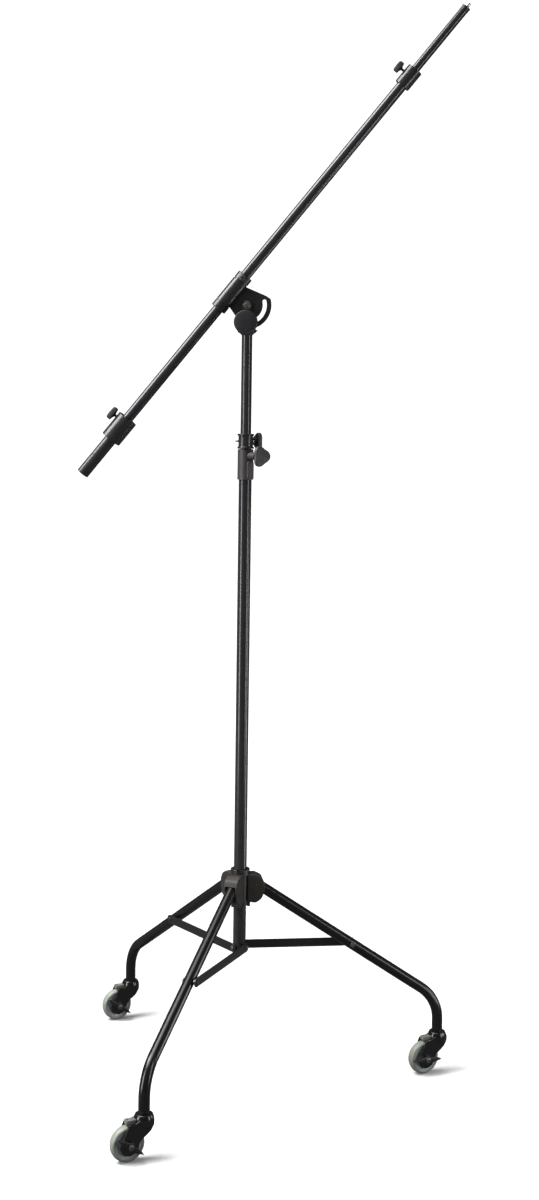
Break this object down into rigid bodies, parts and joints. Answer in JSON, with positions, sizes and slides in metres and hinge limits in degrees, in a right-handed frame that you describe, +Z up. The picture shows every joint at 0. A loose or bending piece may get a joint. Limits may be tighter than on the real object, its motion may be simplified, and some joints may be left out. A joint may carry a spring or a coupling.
{
  "type": "boom microphone stand",
  "caption": "Rolling tripod microphone stand with a tilting telescopic boom, sliding counterweight and braked casters.",
  "frame": {"origin": "middle of the footprint box, on the floor the wheels stand on", "axes": "+Z up along the column, +X the level direction in which the boom rises"},
  "size_m": [0.9044, 0.881, 2.5012],
  "materials": {
    "tube_black": "smooth satin powder coat",
    "satin_black": "fine satin powder coat",
    "strut_black": "satin coat on flat bar",
    "hub_plastic": "matte moulded plastic",
    "housing_plastic": "matte moulded plastic",
    "knob_plastic": "fine-textured moulded plastic",
    "bush_plastic": "smooth moulded plastic",
    "bolt_steel": "zinc-plated",
    "dark_steel": "blackened steel",
    "stud_steel": "bright plated thread",
    "fork_black": "glossy moulded plastic",
    "wheel_grey": "smooth moulded plastic",
    "tyre_grey": "soft translucent tread"
  },
  "bodies": {
    "column": {"column_tube": "tube_black", "column_plug": "bush_plastic", "strut_pivot_rivets": "dark_steel", "clamp_housing": "housing_plastic", "column_bush": "bush_plastic"},
    "clamp_screw": {"clamp_knob": "knob_plastic", "clamp_bolt": "bolt_steel"},
    "stop_collar": {"stop_collar": "satin_black", "collar_rivet": "dark_steel"},
    "collar_screw": {"collar_knob": "knob_plastic", "collar_bolt": "bolt_steel"},
    "hub": {"leg_hub": "hub_plastic", "leg_pivot_pins": "dark_steel"},
    "column_glide": {"column_glide": "bush_plastic"},
    "upper_column": {"inner_column": "tube_black", "head_yoke": "satin_black", "pivot_bolt": "dark_steel"},
    "tilt_screw": {"tilt_knob": "knob_plastic", "tilt_bolt": "bolt_steel"},
    "boom_clamp": {"boom_clamp": "satin_black", "boom_bushes": "bush_plastic", "boom_lock_screw": "dark_steel"},
    "boom": {"boom_tube": "tube_black", "boom_collar": "satin_black", "tail_sleeve": "satin_black"},
    "boom_screw": {"boom_thumbscrew": "knob_plastic"},
    "extension": {"boom_extension": "tube_black", "extension_glide": "bush_plastic", "boom_end_cap": "bush_plastic", "mic_stud": "stud_steel"},
    "counterweight": {"counterweight": "satin_black"},
    "weight_screw": {"weight_thumbscrew": "knob_plastic"},
    "leg_1": {"leg_1": "tube_black", "leg_bolt_1": "dark_steel", "caster_socket_1": "bush_plastic"},
    "strut_1": {"strut_1": "strut_black"},
    "caster_1": {"caster_fork_1": "fork_black", "caster_axle_1": "dark_steel"},
    "wheel_1": {"wheel_core_1": "wheel_grey", "tyre_1": "tyre_grey"},
    "brake_1": {"brake_rocker_1": "fork_black"},
    "leg_2": {"leg_2": "tube_black", "leg_bolt_2": "dark_steel", "caster_socket_2": "bush_plastic"},
    "strut_2": {"strut_2": "strut_black"},
    "caster_2": {"caster_fork_2": "fork_black", "caster_axle_2": "dark_steel"},
    "wheel_2": {"wheel_core_2": "wheel_grey", "tyre_2": "tyre_grey"},
    "brake_2": {"brake_rocker_2": "fork_black"},
    "leg_3": {"leg_3": "tube_black", "leg_bolt_3": "dark_steel", "caster_socket_3": "bush_plastic"},
    "strut_3": {"strut_3": "strut_black"},
    "caster_3": {"caster_fork_3": "fork_black", "caster_axle_3": "dark_steel"},
    "wheel_3": {"wheel_core_3": "wheel_grey", "tyre_3": "tyre_grey"},
    "brake_3": {"brake_rocker_3": "fork_black"}
  },
  "joints": [
    {"name": "clamp_knob_turn", "type": "hinge", "parent": "column", "child": "clamp_screw", "pos_m": [-0.05743, 0.06368, 1.4477], "axis": [0.7193, -0.6947, 0], "range_deg": [0, 360]},
    {"name": "stop_collar_slide", "type": "slide", "parent": "column", "child": "stop_collar", "axis": [0, 0, 1], "range_m": [0, 0.06]},
    {"name": "collar_knob_turn", "type": "hinge", "parent": "stop_collar", "child": "collar_screw", "pos_m": [-0.05743, 0.06368, 1.4814], "axis": [0.8572, 0.515, 0], "range_deg": [0, 360]},
    {"name": "hub_slide", "type": "slide", "parent": "column", "child": "hub", "axis": [0, 0, 1], "range_m": [0, 0.33991]},
    {"name": "leg_1_fold", "type": "hinge", "parent": "hub", "child": "leg_1", "pos_m": [-0.02116, 0.07099, 0.45115], "axis": [-0.1977, 0.9803, 0], "range_deg": [0, 37.21]},
    {"name": "strut_1_fold", "type": "hinge", "parent": "column", "child": "strut_1", "pos_m": [-0.06105, 0.08162, 0.3038], "axis": [0.1977, -0.9803, 0], "range_deg": [0, 60.7]},
    {"name": "caster_1_swivel", "type": "hinge", "parent": "leg_1", "child": "caster_1", "pos_m": [0.40526, 0.15697, 0.1], "axis": [0, 0, 1], "continuous": true},
    {"name": "wheel_1_spin", "type": "hinge", "parent": "caster_1", "child": "wheel_1", "pos_m": [0.37341, 0.13814, 0.0375], "axis": [0.509, -0.8607, 0], "continuous": true},
    {"name": "brake_1_rock", "type": "hinge", "parent": "caster_1", "child": "brake_1", "pos_m": [0.37341, 0.13814, 0.0375], "axis": [0.509, -0.8607, 0], "range_deg": [-32, 36]},
    {"name": "leg_2_fold", "type": "hinge", "parent": "hub", "child": "leg_2", "pos_m": [-0.0819, 0.09143, 0.45115], "axis": [-0.7501, -0.6613, 0], "range_deg": [0, 37.21]},
    {"name": "strut_2_fold", "type": "hinge", "parent": "column", "child": "strut_2", "pos_m": [-0.07116, 0.05158, 0.3038], "axis": [0.7501, 0.6613, 0], "range_deg": [0, 60.7]},
    {"name": "caster_2_swivel", "type": "hinge", "parent": "leg_2", "child": "caster_2", "pos_m": [-0.36957, 0.41773, 0.1], "axis": [0, 0, 1], "continuous": true},
    {"name": "wheel_2_spin", "type": "hinge", "parent": "caster_2", "child": "wheel_2", "pos_m": [-0.40142, 0.3989, 0.0375], "axis": [0.509, -0.8607, 0], "continuous": true},
    {"name": "brake_2_rock", "type": "hinge", "parent": "caster_2", "child": "brake_2", "pos_m": [-0.40142, 0.3989, 0.0375], "axis": [0.509, -0.8607, 0], "range_deg": [0, 68]},
    {"name": "leg_3_fold", "type": "hinge", "parent": "hub", "child": "leg_3", "pos_m": [-0.06923, 0.02861, 0.45115], "axis": [0.9478, -0.319, 0], "range_deg": [0, 37.21]},
    {"name": "strut_3_fold", "type": "hinge", "parent": "column", "child": "strut_3", "pos_m": [-0.04009, 0.05784, 0.3038], "axis": [-0.9478, 0.319, 0], "range_deg": [0, 60.7]},
    {"name": "caster_3_swivel", "type": "hinge", "parent": "leg_3", "child": "caster_3", "pos_m": [-0.20798, -0.38367, 0.1], "axis": [0, 0, 1], "continuous": true},
    {"name": "wheel_3_spin", "type": "hinge", "parent": "caster_3", "child": "wheel_3", "pos_m": [-0.23983, -0.4025, 0.0375], "axis": [0.509, -0.8607, 0], "continuous": true},
    {"name": "brake_3_rock", "type": "hinge", "parent": "caster_3", "child": "brake_3", "pos_m": [-0.23983, -0.4025, 0.0375], "axis": [0.509, -0.8607, 0], "range_deg": [0, 68]},
    {"name": "column_slide", "type": "slide", "parent": "column", "child": "column_glide", "axis": [0, 0, 1], "range_m": [-0.165, 0.55]},
    {"name": "column_swivel", "type": "hinge", "parent": "column_glide", "child": "upper_column", "pos_m": [-0.05743, 0.06368, 1.6], "axis": [0, 0, 1], "continuous": true},
    {"name": "boom_tilt", "type": "hinge", "parent": "upper_column", "child": "boom_clamp", "pos_m": [-0.05743, 0.05868, 1.7987], "axis": [0, 1, 0], "range_deg": [0, 102]},
    {"name": "tilt_knob_turn", "type": "hinge", "parent": "upper_column", "child": "tilt_screw", "pos_m": [-0.05743, 0.02368, 1.7577], "axis": [0, -1, 0], "range_deg": [0, 360]},
    {"name": "boom_slide", "type": "slide", "parent": "boom_clamp", "child": "boom", "axis": [0.6293, 0, 0.7771], "range_m": [-0.5, 0.16]},
    {"name": "boom_knob_turn", "type": "hinge", "parent": "boom", "child": "boom_screw", "pos_m": [0.2899, 0.05868, 2.34997], "axis": [-0.7771, 0, 0.6293], "range_deg": [0, 360]},
    {"name": "extension_slide", "type": "slide", "parent": "boom", "child": "extension", "axis": [0.6293, 0, 0.7771], "range_m": [-0.17, 0.3]},
    {"name": "weight_slide", "type": "slide", "parent": "boom", "child": "counterweight", "axis": [0.6293, 0, 0.7771], "range_m": [0, 0.16]},
    {"name": "weight_knob_turn", "type": "hinge", "parent": "counterweight", "child": "weight_screw", "pos_m": [-0.37081, 0.05868, 1.54201], "axis": [-0.7771, 0, 0.6293], "range_deg": [0, 360]}
  ],
  "couplings": [
    {"joint": "leg_1_fold", "follows": "hub_slide", "rad_per_m": 1.9101},
    {"joint": "strut_1_fold", "follows": "hub_slide", "rad_per_m": 3.1164},
    {"joint": "leg_2_fold", "follows": "hub_slide", "rad_per_m": 1.9101},
    {"joint": "strut_2_fold", "follows": "hub_slide", "rad_per_m": 3.1164},
    {"joint": "leg_3_fold", "follows": "hub_slide", "rad_per_m": 1.9101},
    {"joint": "strut_3_fold", "follows": "hub_slide", "rad_per_m": 3.1164}
  ]
}
